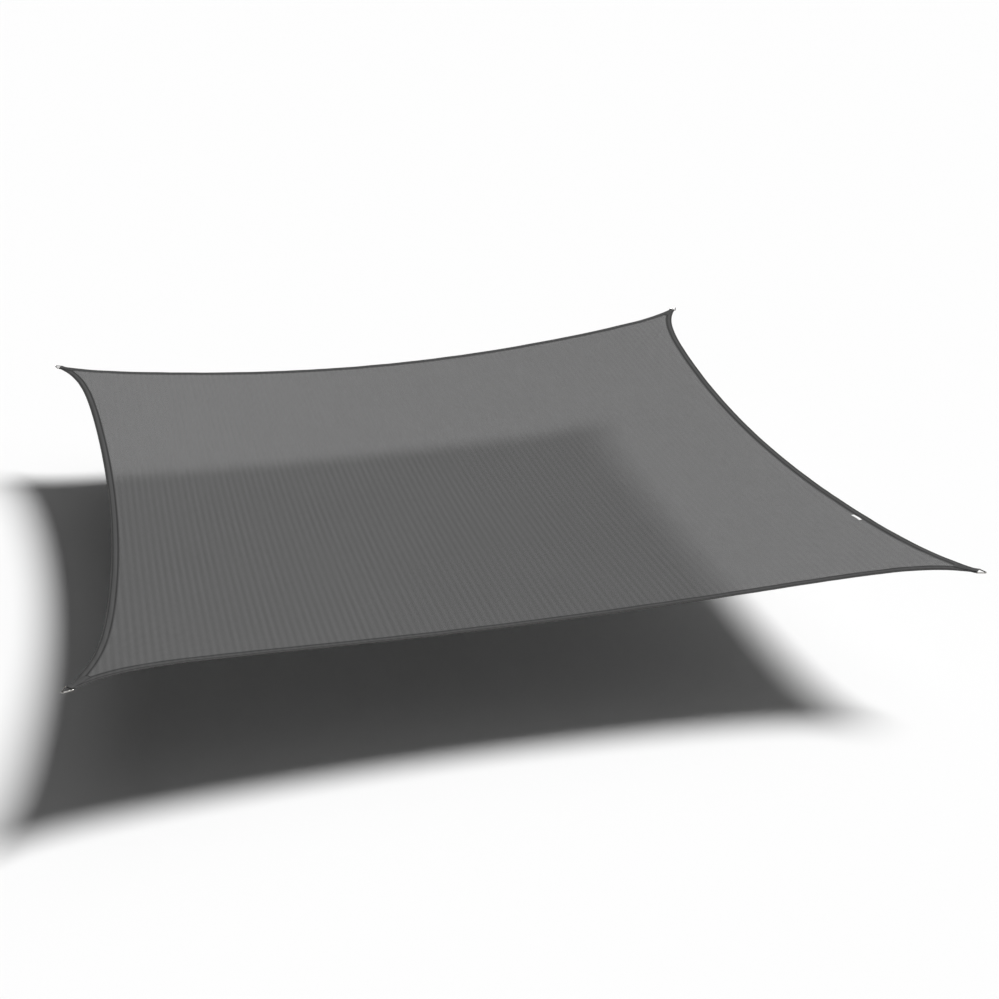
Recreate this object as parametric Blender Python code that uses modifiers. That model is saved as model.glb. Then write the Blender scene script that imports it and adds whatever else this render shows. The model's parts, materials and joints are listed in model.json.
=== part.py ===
"""A square shade sail with hollow-cut edges, hung level by a steel triangular ring at each corner.

Metres, +Z up. X runs along the near edge from left to right, and Y from the near edge to the far
one. The cloth has its hung shape: its edges curve in between the corners and sink a little, and its
middle hangs lowest. Each corner ends in a straight tail, and a webbing strap sewn over and under
the tail folds round the base bar of the ring. The origin is the middle of the whole sail's box.
"""

import math

import bmesh
import bpy
from mathutils import Matrix, Vector
from mathutils.bvhtree import BVHTree

# The sail's square, measured between the middles of the rings' base bars.
SIDE = 4.0
# How far each corner hangs above the first one.
CORNER_RISE = {"near_left": 0.0, "near_right": 0.014, "far_right": 0.022, "far_left": -0.031}

# The cut of an edge: an even bow along all of it, and a flare that comes in close to its corners.
EDGE_BOW = 0.123
CORNER_FLARE = 0.099
FLARE_POWER = 10.6

# The hang: how far the middle of an edge and the middle of the cloth lie below the corners.
EDGE_SAG = 0.095
CENTRE_SAG = 0.155
SAG_POWER = 1.3
STRAIGHT_TAIL = 0.12
# How steeply each straight tail is pulled up out of the cloth, and how far in from the bar that is felt.
TAIL_PULL = {"near_left": 0.014, "near_right": 0.022, "far_right": 0.064, "far_left": 0.055}
PULL_REACH = 0.24

# The cloth: one layer, and a hem of three layers turned to the underside.
CLOTH_THICKNESS = 0.0015
HEM_THICKNESS = 3 * CLOTH_THICKNESS
HEM_WIDTH = 0.040
HEM_STEP = 0.003
CORNER_END_WIDTH = 0.036
CORNER_END_TO_BAR = 0.006

# The ring: a triangle of round steel wire, measured along the wire's middle before its bends.
WIRE_RADIUS = 0.003
RING_BASE = 0.048
RING_HEIGHT = 0.048
BASE_BEND_RADIUS = 0.0045
APEX_BEND_RADIUS = 0.005
BEND_STEPS = 5

# The webbing strap, folded round the ring's base bar.
STRAP_WIDTH = 0.032
STRAP_THICKNESS = 0.002
STRAP_LENGTH = 0.105
STRAP_TAPER = 0.014
FOLD_STEPS = 8

# The blank tag, which lies along the hem of the right-hand edge.
TAG_LENGTH = 0.076
TAG_WIDTH = 0.016
TAG_THICKNESS = 0.001
TAG_FROM_HEM = 0.004
TAG_ALONG_EDGE = 0.19
TAG_CELLS = 6

# The clearance that sewn and threaded pieces keep to each other.
GAP = 0.0003

# The cloth's grid: cells along a side, and how far they are drawn together towards the corners.
CELLS = 34
CORNER_CROWDING = 0.8
EDGE_RING, HEM_RING, STEP_RING = 0, 1, 2

CHARCOAL_KNIT = ("charcoal_knit", (0.042, 0.043, 0.044), 0.9, 0.0)
BLACK_WEBBING = ("dark_webbing", (0.022, 0.022, 0.023), 0.8, 0.0)
BRIGHT_STEEL = ("bright_steel", (0.62, 0.62, 0.61), 0.25, 1.0)
WHITE_TAPE = ("white_tape", (0.85, 0.85, 0.84), 0.7, 0.0)


def corner_place(name):
    """Return the corner's bar in the plan, and the unit vector that points out along its diagonal."""
    depth, side = name.split("_")
    sign = Vector((1 if side == "right" else -1, 1 if depth == "far" else -1))
    return sign * SIDE / 2, sign.normalized()


def corner_level(x, y):
    """Return the height of the twisted plane through the four corners."""
    a, b = x / SIDE + 0.5, y / SIDE + 0.5
    rise = CORNER_RISE
    near = rise["near_left"] * (1 - a) + rise["near_right"] * a
    far = rise["far_left"] * (1 - a) + rise["far_right"] * a
    return near * (1 - b) + far * b


def sink(position):
    """Return the share of the sag at a place from -SIDE / 2 to SIDE / 2: none in a straight tail."""
    reach = SIDE / 2 - STRAIGHT_TAIL
    return max(0.0, 1 - (position / reach) ** 2) ** SAG_POWER


def tail_lift(x, y):
    """Return how far a place is pulled up by its corner: evenly along the tail, and then fading out."""
    corner = f"{'near' if y < 0 else 'far'}_{'left' if x < 0 else 'right'}"
    inward = (SIDE - abs(x) - abs(y)) / math.sqrt(2)
    fading = PULL_REACH - STRAIGHT_TAIL
    within = min(fading, max(0.0, PULL_REACH - inward))
    return TAIL_PULL[corner] * (within**2 / (2 * fading) + max(0.0, STRAIGHT_TAIL - inward))


def hang_height(x, y):
    """Return the height of the middle of the hem's thickness over a place in the plan."""
    along, across = sink(x), sink(y)
    shared = 2 - CENTRE_SAG / EDGE_SAG
    sag = EDGE_SAG * (along + across - shared * along * across)
    return corner_level(x, y) - sag + tail_lift(x, y)


def near_edge(t, inset):
    """Return the point a distance inside the near edge, beside the share t of the edge's length."""
    back, half_end = CORNER_END_TO_BAR / math.sqrt(2), CORNER_END_WIDTH / 2 / math.sqrt(2)
    start = -SIDE / 2 + back + half_end
    offset, turn = 2 * t - 1, abs(2 * t - 1)
    hollow = EDGE_BOW * (1 - turn**2) + CORNER_FLARE * (1 - turn**FLARE_POWER)
    steep = 2 * EDGE_BOW * turn + FLARE_POWER * CORNER_FLARE * turn ** (FLARE_POWER - 1)
    tangent = Vector((-start, -math.copysign(steep, offset))).normalized()
    point = Vector((start * -offset, -SIDE / 2 + back - half_end + hollow))
    return point + inset * Vector((-tangent.y, tangent.x))


def mitre_share(inset):
    """Return the share t at which the line inside the near edge meets the corner's diagonal."""
    low, high = 0.0, 0.5
    for _ in range(40):
        middle = (low + high) / 2
        point = near_edge(middle, inset)
        low, high = (low, middle) if point.x > point.y else (middle, high)
    return low


def spread(index):
    """Return where a grid line stands between 0 and 1, with the lines closer towards both ends."""
    even = index / CELLS
    crowded = (1 - math.cos(math.pi * even)) / 2
    return even + CORNER_CROWDING * (crowded - even)


def spread_in_ring(index, ring):
    """Return where a grid line stands between the two corners of a ring of the grid."""
    first = spread(ring)
    return (spread(index) - first) / (1 - 2 * first)


def ring_line(ring, turns):
    """Return one side of a ring of the grid as a function of its grid line, turned by quarter turns."""
    inset = {EDGE_RING: 0.0, HEM_RING: HEM_WIDTH, STEP_RING: HEM_WIDTH + HEM_STEP}[ring]
    first = 0.0 if ring == EDGE_RING else mitre_share(inset)
    corner = max(ring, 1)
    turn = Matrix.Rotation(turns * math.pi / 2, 2)

    def at(index):
        share = spread_in_ring(index, corner)
        return turn @ near_edge(first + (1 - 2 * first) * share, inset)

    return at


def plan_of_grid():
    """Return the place in the plan of every point of the cloth's grid, by its two grid lines."""
    last = CELLS
    plan = {}
    for ring in (EDGE_RING, HEM_RING, STEP_RING):
        sides = [ring_line(ring, turns) for turns in range(4)]
        for i in range(max(ring, 1), last - max(ring, 1) + 1):
            plan[i, ring] = sides[0](i)
            plan[last - ring, i] = sides[1](i)
            plan[last - i, last - ring] = sides[2](i)
            plan[ring, last - i] = sides[3](i)
    for i in (0, last):
        for j in (0, last):
            beside = plan[abs(i - 1), j], plan[i, abs(j - 1)]
            plan[i, j] = (beside[0] + beside[1]) / 2
    low, high = STEP_RING, last - STEP_RING
    for i in range(low + 1, high):
        for j in range(low + 1, high):
            a, b = spread_in_ring(i, STEP_RING), spread_in_ring(j, STEP_RING)
            across = plan[i, low] * (1 - b) + plan[i, high] * b
            along = plan[low, j] * (1 - a) + plan[high, j] * a
            near = plan[low, low] * (1 - a) + plan[high, low] * a
            far = plan[low, high] * (1 - a) + plan[high, high] * a
            plan[i, j] = across + along - near * (1 - b) - far * b
    return plan


def material(finish):
    """Return the material of a finish: its name, colour, roughness and metallic value."""
    name, colour, roughness, metallic = finish
    made = bpy.data.materials.get(name) or bpy.data.materials.new(name)
    made.use_nodes = True
    shader = made.node_tree.nodes["Principled BSDF"]
    shader.inputs["Base Color"].default_value = (*colour, 1.0)
    shader.inputs["Roughness"].default_value = roughness
    shader.inputs["Metallic"].default_value = metallic
    return made


def new_object(name, data, parent, finish=None):
    """Add an object to the sail's collection under its parent."""
    made = bpy.data.objects.new(name, data)
    bpy.data.collections["shade_sail"].objects.link(made)
    made.parent = parent
    if finish:
        data.materials.append(material(finish))
    return made


def grid_mesh(name, columns, rows, place):
    """Make a grid of faces and put each of its points where place(column, row) says."""
    bm = bmesh.new()
    bmesh.ops.create_grid(bm, x_segments=columns, y_segments=rows, size=0.5)
    for vertex in bm.verts:
        column = round((vertex.co.x + 0.5) * columns)
        row = round((vertex.co.y + 0.5) * rows)
        vertex.co = place(column, row)
    mesh = bpy.data.meshes.new(name)
    bm.to_mesh(mesh)
    bm.free()
    mesh.shade_smooth()
    return mesh


def add_thickness(made, thickness, offset):
    """Give an open surface its thickness, with offset -1 behind its faces and 1 in front of them."""
    solid = made.modifiers.new("thickness", "SOLIDIFY")
    solid.thickness = thickness
    solid.offset = offset
    return solid


def sail_cloth(parent):
    """Model the cloth from its smooth top face, with the hem's extra layers on the underside."""
    plan = plan_of_grid()

    def place(column, row):
        x, y = plan[column, row]
        return Vector((x, y, hang_height(x, y) + HEM_THICKNESS / 2))

    mesh = grid_mesh("sail_cloth", CELLS, CELLS, place)
    cloth = new_object("sail_cloth", mesh, parent, CHARCOAL_KNIT)
    layers = cloth.vertex_groups.new(name="layers")
    hem_points = {tuple(place(*key)) for key in plan if min(*key, *(CELLS - k for k in key)) <= HEM_RING}
    for vertex in mesh.vertices:
        in_hem = tuple(vertex.co) in hem_points
        layers.add([vertex.index], 1.0 if in_hem else CLOTH_THICKNESS / HEM_THICKNESS, "REPLACE")
    solid = add_thickness(cloth, HEM_THICKNESS, -1)
    solid.vertex_group = layers.name
    return cloth


def corner_frame(name, parent):
    """Add an empty at a ring's base bar: its X points out of the sail and its Z stands on the cloth."""
    bar, out = corner_place(name)
    step = 0.001
    level = hang_height(*bar)
    slope_x = (hang_height(bar.x + step, bar.y) - level) / step
    slope_y = (hang_height(bar.x, bar.y + step) - level) / step
    up = Vector((-slope_x, -slope_y, 1.0)).normalized()
    across = up.cross(out.to_3d()).normalized()
    frame = new_object(f"corner_{name}", None, parent)
    turned = Matrix((across.cross(up), across, up)).transposed().to_4x4()
    frame.matrix_local = Matrix.Translation((*bar, level)) @ turned
    return frame


def bend(before, corner, after, radius):
    """Return the points of a round bend that replaces the corner between two straight runs."""
    into, out = (before - corner).normalized(), (after - corner).normalized()
    half = into.angle(out) / 2
    centre = corner + (into + out).normalized() * radius / math.sin(half)
    start = corner + into * radius / math.tan(half) - centre
    sweep = (math.pi - 2 * half) * math.copysign(1, into.cross(out).z) * -1
    turns = [Matrix.Rotation(sweep * step / BEND_STEPS, 3, "Z") for step in range(BEND_STEPS + 1)]
    return [centre + turn @ start for turn in turns]


def corner_ring(name, parent):
    """Model a triangular ring whose base bar lies on the frame's Y axis, with its tip outwards."""
    left, right = Vector((0, -RING_BASE / 2, 0)), Vector((0, RING_BASE / 2, 0))
    tip = Vector((RING_HEIGHT, 0, 0))
    path = bend(right, left, tip, BASE_BEND_RADIUS)
    path += bend(left, tip, right, APEX_BEND_RADIUS)
    path += bend(tip, right, left, BASE_BEND_RADIUS)
    curve = bpy.data.curves.new(f"ring_{name}", "CURVE")
    curve.dimensions = "3D"
    curve.bevel_depth = WIRE_RADIUS
    curve.bevel_resolution = 2
    spline = curve.splines.new("POLY")
    spline.points.add(len(path) - 1)
    for point, place in zip(spline.points, path):
        point.co = (*place, 1.0)
    spline.use_cyclic_u = True
    spline.use_smooth = True
    return new_object(f"ring_{name}", curve, parent, BRIGHT_STEEL)


def strap_profile():
    """Return the inner line of the folded strap, from its top end round the bar to its lower end."""
    on_cloth = HEM_THICKNESS / 2 + GAP
    round_bar = WIRE_RADIUS + GAP
    top = [Vector((-STRAP_LENGTH, on_cloth)), Vector((-STRAP_TAPER, on_cloth))]
    fold = []
    for step in range(FOLD_STEPS + 1):
        angle = math.pi / 2 - math.pi * step / FOLD_STEPS
        fold.append(round_bar * Vector((math.cos(angle), math.sin(angle))))
    under = [Vector((point.x, -point.y)) for point in reversed(top)]
    return top + fold + under


def corner_webbing(name, parent):
    """Model the strap that is folded round a ring's base bar and sewn over and under the corner."""
    profile = strap_profile()

    def place(column, row):
        out, up = profile[column]
        return Vector((out, STRAP_WIDTH * (row / 2 - 0.5), up))

    mesh = grid_mesh(f"webbing_{name}", len(profile) - 1, 2, place)
    strap = new_object(f"webbing_{name}", mesh, parent, BLACK_WEBBING)
    add_thickness(strap, STRAP_THICKNESS, 1).use_even_offset = True
    return strap


def care_tag(parent, cloth):
    """Model the blank tag, which follows the cloth beside the hem of the right-hand edge."""
    surface = BVHTree.FromObject(cloth, bpy.context.evaluated_depsgraph_get())
    inset = HEM_WIDTH + TAG_FROM_HEM
    quarter = Matrix.Rotation(math.pi / 2, 2)

    def place(column, row):
        share = TAG_ALONG_EDGE + (column / TAG_CELLS - 0.5) * TAG_LENGTH / SIDE
        x, y = quarter @ near_edge(share, inset + TAG_WIDTH * row)
        seat = surface.ray_cast(Vector((x, y, 1.0)), Vector((0, 0, -1)))[0]
        return seat + Vector((0, 0, GAP))

    mesh = grid_mesh("care_tag", TAG_CELLS, 1, place)
    tag = new_object("care_tag", mesh, parent, WHITE_TAPE)
    add_thickness(tag, TAG_THICKNESS, 1)
    return tag


def centre_height(objects):
    """Return the height of the middle of the box round the objects."""
    bpy.context.view_layer.update()
    depsgraph = bpy.context.evaluated_depsgraph_get()
    heights = []
    for made in objects:
        shown = made.evaluated_get(depsgraph)
        heights += [(shown.matrix_world @ vertex.co).z for vertex in shown.to_mesh().vertices]
        shown.to_mesh_clear()
    return (min(heights) + max(heights)) / 2


def main():
    """Empty the scene and model the sail."""
    for old in list(bpy.data.objects):
        bpy.data.objects.remove(old, do_unlink=True)
    collection = bpy.data.collections.new("shade_sail")
    bpy.context.scene.collection.children.link(collection)
    frame = new_object("sail_frame", None, None)
    cloth = sail_cloth(frame)
    pieces = [cloth]
    for name in CORNER_RISE:
        corner = corner_frame(name, frame)
        pieces += [corner_ring(name, corner), corner_webbing(name, corner)]
    bpy.context.view_layer.update()
    pieces.append(care_tag(frame, cloth))
    frame.location.z = -centre_height(pieces)


main()
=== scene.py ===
"""The looks of a square knitted shade sail, hung level by its four corners above a white floor.

The maker's pieces are the cloth with its sewn hem, four folded webbing straps, four steel rings and
one blank tape tag. Everything is in metres in the part's own frame: +Z up, X along the near edge from
left to right, and Y from the near edge to the far one. Each piece is worked out from the same sizes
as the solid that it replaces, so it lies where that solid lies.
"""

import json
import logging
import math
from dataclasses import dataclass, replace
from enum import Enum

import bmesh
import bpy
import numpy as np
from mathutils import Matrix, Vector, noise


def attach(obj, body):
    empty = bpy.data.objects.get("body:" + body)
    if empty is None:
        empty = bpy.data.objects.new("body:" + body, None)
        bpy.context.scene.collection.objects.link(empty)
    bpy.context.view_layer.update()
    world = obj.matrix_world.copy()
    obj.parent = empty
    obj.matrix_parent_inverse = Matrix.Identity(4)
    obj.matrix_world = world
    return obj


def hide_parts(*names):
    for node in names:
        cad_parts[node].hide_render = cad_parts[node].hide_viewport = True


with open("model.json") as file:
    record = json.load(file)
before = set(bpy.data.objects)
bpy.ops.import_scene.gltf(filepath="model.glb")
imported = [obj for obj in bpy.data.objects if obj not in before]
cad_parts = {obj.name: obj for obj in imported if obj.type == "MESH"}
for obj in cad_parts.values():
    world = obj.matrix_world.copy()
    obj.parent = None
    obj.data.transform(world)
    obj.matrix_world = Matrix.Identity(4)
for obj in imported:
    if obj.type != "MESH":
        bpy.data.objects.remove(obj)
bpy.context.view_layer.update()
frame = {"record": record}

LOG = logging.getLogger("shade_sail")
BODY = "root"
# Points closer than this are one point of a mesh.
WELD = 1e-5
# The clearance that sewn and threaded pieces keep to each other.
GAP = 0.0003
# The step over which a slope or a direction on the cloth is measured.
STEP = 0.001
# Half an edge, halved this often, is far under any length that shows.
HALVINGS = 50
# The mesh attribute that holds a sewn piece's own coordinates: along it, and across it.
LAY = "lay"


class Side(Enum):
    """An edge of the sail; the value is its number of quarter turns from the near edge."""

    NEAR = 0
    RIGHT = 1
    FAR = 2
    LEFT = 3


class Corner(Enum):
    """A corner of the sail; the value is its direction along X and along Y."""

    NEAR_LEFT = (-1, -1)
    NEAR_RIGHT = (1, -1)
    FAR_RIGHT = (1, 1)
    FAR_LEFT = (-1, 1)

    @property
    def label(self) -> str:
        """Return the corner's name as the frame's nodes spell it."""
        return self.name.lower()


class Face(Enum):
    """A face of the cloth; the value is the direction in which it looks."""

    TOP = 1
    UNDERSIDE = -1


def eased(share: np.ndarray) -> np.ndarray:
    """Return shares, cut to lie between 0 and 1 and eased at both ends."""
    within = np.clip(share, 0, 1)
    return within**2 * (3 - 2 * within)


def unit(rows: np.ndarray) -> np.ndarray:
    """Return directions, one in each row, made one metre long."""
    return rows / np.linalg.norm(rows, axis=-1, keepdims=True)


# ---------------------------------------------------------------------------------------------
# Shapes that the sewn and bent pieces share
# ---------------------------------------------------------------------------------------------


@dataclass(frozen=True)
class HungShape:
    """The cut and the hang of the sail, which place any point of its cloth.

    An edge is cut with an even bow, and with a flare that comes in close to its corners. The cloth
    hangs below the twisted plane through its corners, lowest in its middle. Each corner ends in a
    straight tail with a blunt end, which its ring pulls up a little out of that hang.

    Attributes:
        level: The height of the corners' plane at the near left corner.
        side: The square's side between the rings' base bars.
        rise_near_right: How much higher the plane is at that corner than at the near left one.
        rise_far_right: The same for the far right corner.
        rise_far_left: The same for the far left corner.
        edge_bow: How deep the even bow is in the middle of an edge.
        corner_flare: How much further in the flare brings the edge.
        flare_power: How close to the corners the flare does so.
        edge_sag: How far the middle of an edge hangs below the plane.
        centre_sag: How far the middle of the panel does.
        sag_power: How soon the sag fades towards the corners.
        straight_tail: How far in from a ring's bar nothing sags.
        tail_pull: How steeply each corner's tail is pulled up, in the order of Corner.
        pull_reach: How far in from a ring's bar its pull begins.
        end_width: How wide a tail's blunt end is.
        end_to_bar: The way from that end to the middle of the ring's bar.
        cloth_thickness: How thick the single cloth is.
        hem_thickness: How thick the three layers of the hem are.
        hem_width: How wide the hem is.
    """

    level: float
    side: float = 4.0
    rise_near_right: float = 0.014
    rise_far_right: float = 0.022
    rise_far_left: float = -0.031
    edge_bow: float = 0.123
    corner_flare: float = 0.099
    flare_power: float = 10.6
    edge_sag: float = 0.095
    centre_sag: float = 0.155
    sag_power: float = 1.3
    straight_tail: float = 0.12
    tail_pull: tuple[float, float, float, float] = (0.014, 0.022, 0.064, 0.055)
    pull_reach: float = 0.24
    end_width: float = 0.036
    end_to_bar: float = 0.006
    cloth_thickness: float = 0.0015
    hem_thickness: float = 0.0045
    hem_width: float = 0.040

    @classmethod
    def from_record(cls, record: dict) -> "HungShape":
        """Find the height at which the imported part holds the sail.

        Args:
            record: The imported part's record.

        Returns:
            The shape, hung so that its near left corner is at that part's mount.
        """
        mount = next(m for m in record["mounts"] if m["name"] == "hang_near_left")
        x, y, z = mount["pos_m"]
        grounded = cls(level=0.0)
        return replace(grounded, level=z - float(grounded.hang(x, y)))

    def corner_plane(self, x: np.ndarray, y: np.ndarray) -> np.ndarray:
        """Find the height of the twisted plane that the corners' levels span.

        Args:
            x: Places along X.
            y: Places along Y.

        Returns:
            The heights there.
        """
        a, b = x / self.side + 0.5, y / self.side + 0.5
        near = self.rise_near_right * a
        far = self.rise_far_left * (1 - a) + self.rise_far_right * a
        return self.level + near * (1 - b) + far * b

    def sink(self, position: np.ndarray) -> np.ndarray:
        """Return the share of the sag at a place along X or Y: one in the middle, none in a tail."""
        reach = self.side / 2 - self.straight_tail
        return np.maximum(0.0, 1 - (position / reach) ** 2) ** self.sag_power

    def tail_lift(self, x: np.ndarray, y: np.ndarray) -> np.ndarray:
        """Find how far the rings' pull raises the tails: in a curve at first, then straight.

        Args:
            x: Places along X.
            y: Places along Y.

        Returns:
            The lifts there.
        """
        inward = (self.side - np.abs(x) - np.abs(y)) / math.sqrt(2)
        fading = self.pull_reach - self.straight_tail
        within = np.clip(self.pull_reach - inward, 0.0, fading)
        near_left, near_right, far_right, far_left = self.tail_pull
        near, far = np.where(x < 0, near_left, near_right), np.where(x < 0, far_left, far_right)
        straight = np.maximum(0.0, self.straight_tail - inward)
        return np.where(y < 0, near, far) * (within**2 / (2 * fading) + straight)

    def hang(self, x: np.ndarray, y: np.ndarray) -> np.ndarray:
        """Find the height of the layer, halfway through the hem, that meets the rings' bars.

        Args:
            x: Places along X.
            y: Places along Y.

        Returns:
            The heights there.
        """
        along, across = self.sink(x), self.sink(y)
        shared = 2 - self.centre_sag / self.edge_sag
        sag = self.edge_sag * (along + across - shared * along * across)
        return self.corner_plane(x, y) - sag + self.tail_lift(x, y)

    def height(self, x: np.ndarray, y: np.ndarray) -> np.ndarray:
        """Return the height of the cloth's smooth top face over places in the plan."""
        return self.hang(x, y) + self.hem_thickness / 2

    def near_edge(self, share: np.ndarray, inset: np.ndarray) -> np.ndarray:
        """Find places in the plan beside the near edge.

        Args:
            share: How far along the edge, from 0 at its left end to 1 at its right end.
            inset: How far inside the edge, square to it.

        Returns:
            An array of X and Y.
        """
        back = self.end_to_bar / math.sqrt(2)
        half_end = self.end_width / 2 / math.sqrt(2)
        reach = self.side / 2 - back - half_end
        offset = 2 * np.asarray(share, float) - 1
        turn = np.abs(offset)
        hollow = self.edge_bow * (1 - turn**2) + self.corner_flare * (1 - turn**self.flare_power)
        steep = 2 * self.edge_bow * turn
        steep += self.flare_power * self.corner_flare * turn ** (self.flare_power - 1)
        run = unit(np.stack([np.full_like(offset, reach), -np.copysign(steep, offset)], -1))
        inward = np.stack([-run[..., 1], run[..., 0]], -1)
        line = np.stack([reach * offset, hollow - self.side / 2 + back - half_end], -1)
        return line + np.asarray(inset, float)[..., None] * inward

    def edge(self, side: Side, share: np.ndarray, inset: np.ndarray) -> np.ndarray:
        """Find places in the plan beside any edge, as near_edge does for the near one.

        Args:
            side: The edge.
            share: How far along it, counted round the sail against the clock.
            inset: How far inside it, square to it.

        Returns:
            An array of X and Y.
        """
        x, y = np.moveaxis(self.near_edge(share, inset), -1, 0)
        for _ in range(side.value):
            x, y = -y, x
        return np.stack([x, y], -1)

    def first_share(self, inset: float) -> float:
        """Find where a line inside an edge starts, at the blunt end or at the corner's mitre.

        Args:
            inset: How far inside the edge the line runs.

        Returns:
            The share of the edge, found by halving.
        """
        low, high = 0.0, 0.5
        for _ in range(HALVINGS):
            middle = (low + high) / 2
            x, y = self.near_edge(middle, inset)
            past_end = (x + y + self.side) / math.sqrt(2) > self.end_to_bar + inset
            low, high = (low, middle) if x > y and past_end else (middle, high)
        return high

    def line_shares(self, inset: float, spread: np.ndarray) -> np.ndarray:
        """Return an edge's shares at points spread from 0 to 1 on a line that runs inside it."""
        first = self.first_share(inset)
        return first + (1 - 2 * first) * spread

    def corner_frame(self, corner: Corner) -> Matrix:
        """Find the frame at a ring's base bar: X points out of the sail and Z stands on the cloth.

        Args:
            corner: The ring's corner.

        Returns:
            The matrix that moves a piece from its own frame to the corner.
        """
        x, y = (self.side / 2 * sign for sign in corner.value)
        level = float(self.hang(x, y))
        slope_x = (float(self.hang(x + STEP, y)) - level) / STEP
        slope_y = (float(self.hang(x, y + STEP)) - level) / STEP
        up = Vector((-slope_x, -slope_y, 1.0)).normalized()
        across = up.cross(Vector((*corner.value, 0.0))).normalized()
        turned = Matrix((across.cross(up), across, up)).transposed().to_4x4()
        return Matrix.Translation((x, y, level)) @ turned


@dataclass
class Shell:
    """A mesh in the making: its points, their lay, its faces and each face's finish.

    Attributes:
        points: An array of places.
        lay: An array of each point's coordinates along and across the piece.
        faces: Lists of point numbers, each going round its face's outer side.
        finish: Each face's place in the piece's list of finishes.
    """

    points: np.ndarray
    lay: np.ndarray
    faces: list[list[int]]
    finish: list[int]

    @classmethod
    def joined(cls, parts: list["Shell"]) -> "Shell":
        """Join shells, with the points that they share left double.

        Args:
            parts: The shells.

        Returns:
            One shell that holds them all.
        """
        starts = np.cumsum([0, *(len(part.points) for part in parts[:-1])])
        faces = [
            [int(start) + n for n in face] for part, start in zip(parts, starts) for face in part.faces
        ]
        return cls(
            np.concatenate([part.points for part in parts]),
            np.concatenate([part.lay for part in parts]),
            faces,
            [number for part in parts for number in part.finish],
        )

    @classmethod
    def grid(cls, points: np.ndarray, lay: np.ndarray, wrap: bool = False) -> "Shell":
        """Make a shell of a grid of points.

        Args:
            points: An array of columns, rows and X, Y, Z.
            lay: An array of columns, rows and the two coordinates of the lay.
            wrap: Whether the last row is joined to the first.

        Returns:
            The shell, whose faces look up where X and Y grow with the grid.
        """
        columns, rows = points.shape[:2]
        number = np.arange(columns * rows).reshape(columns, rows)
        ahead = np.roll(number, -1, axis=1)
        quads = np.stack([number[:-1], number[1:], ahead[1:], ahead[:-1]], -1)
        quads = quads if wrap else quads[:, :-1]
        faces = quads.reshape(-1, 4).tolist()
        return cls(points.reshape(-1, 3), lay.reshape(-1, 2), faces, [0] * len(faces))

    def turned_over(self) -> "Shell":
        """Return the same shell with its faces looking the other way."""
        return replace(self, faces=[face[::-1] for face in self.faces])

    def moved(self, matrix: Matrix) -> "Shell":
        """Return the same shell, moved by a matrix."""
        table = np.array(matrix)
        return replace(self, points=self.points @ table[:3, :3].T + table[:3, 3])

    def mesh(self, name: str) -> bpy.types.Mesh:
        """Turn the shell into a welded, smooth mesh.

        Args:
            name: The mesh's name.

        Returns:
            The mesh, which carries the lay as an attribute.
        """
        mesh = bpy.data.meshes.new(name)
        mesh.from_pydata(self.points.tolist(), [], self.faces)
        mesh.polygons.foreach_set("material_index", self.finish)
        lay = mesh.attributes.new(LAY, "FLOAT_VECTOR", "POINT")
        flat = np.column_stack([self.lay, np.zeros(len(self.lay))])
        lay.data.foreach_set("vector", flat.astype(np.float32).ravel())
        bm = bmesh.new()
        bm.from_mesh(mesh)
        bmesh.ops.remove_doubles(bm, verts=bm.verts, dist=WELD)
        bm.to_mesh(mesh)
        bm.free()
        mesh.shade_smooth()
        return mesh


def sweep(path: np.ndarray, section: np.ndarray, up: np.ndarray, closed: bool) -> Shell:
    """Carry a section along a path.

    Args:
        path: The points of the path.
        section: The points of the section: its places across the path and above it.
        up: The section's upward direction at each point of the path.
        closed: Whether the path's end meets its start; if not, its ends are filled.

    Returns:
        The shell, whose lay is the length along the path and the place across it.
    """
    if closed:
        run = unit(np.roll(path, -1, axis=0) - np.roll(path, 1, axis=0))
    else:
        run = unit(np.gradient(path, axis=0))
    across = np.cross(up, run)
    above = np.cross(run, across)
    points = path[:, None] + section[None, :, :1] * across[:, None]
    points = points + section[None, :, 1:] * above[:, None]
    steps = np.linalg.norm(np.diff(path, axis=0), axis=1)
    along = np.concatenate([[0.0], np.cumsum(steps)])
    lay = np.stack(np.broadcast_arrays(along[:, None], section[None, :, 0]), -1)
    if closed:
        points = np.concatenate([points, points[:1]])
        lay = np.concatenate([lay, lay[:1]])
    tube = Shell.grid(points, lay, wrap=True)
    if closed:
        return tube
    around = points.shape[1]
    last = (points.shape[0] - 1) * around
    caps = [list(range(around))[::-1], [last + n for n in range(around)]]
    return replace(tube, faces=tube.faces + caps, finish=tube.finish + [0, 0])


def add_piece(
    shell: Shell, name: str, finishes: list[bpy.types.Material]
) -> bpy.types.Object:
    """Put a shell into the scene as a piece that rides on the sail's body.

    Args:
        shell: The piece's shape in the part's frame.
        name: The piece's name.
        finishes: Its materials, in the order of its faces' finish numbers.

    Returns:
        The piece.
    """
    piece = bpy.data.objects.new(name, shell.mesh(name))
    bpy.context.scene.collection.objects.link(piece)
    for finish in finishes:
        piece.data.materials.append(finish)
    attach(piece, BODY)
    LOG.info("%s: %d points, %d faces", name, len(piece.data.vertices), len(piece.data.polygons))
    return piece


# ---------------------------------------------------------------------------------------------
# Finishes
# ---------------------------------------------------------------------------------------------


def linear(code: str) -> tuple[float, float, float, float]:
    """Turn an sRGB colour to linear.

    Args:
        code: The colour as a hex code such as "#5c5d5e".

    Returns:
        The linear red, green and blue, and an alpha of one.
    """
    shares = (int(code[start : start + 2], 16) / 255 for start in (1, 3, 5))
    red, green, blue = (s / 12.92 if s <= 0.04045 else ((s + 0.055) / 1.055) ** 2.4 for s in shares)
    return red, green, blue, 1.0


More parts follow.
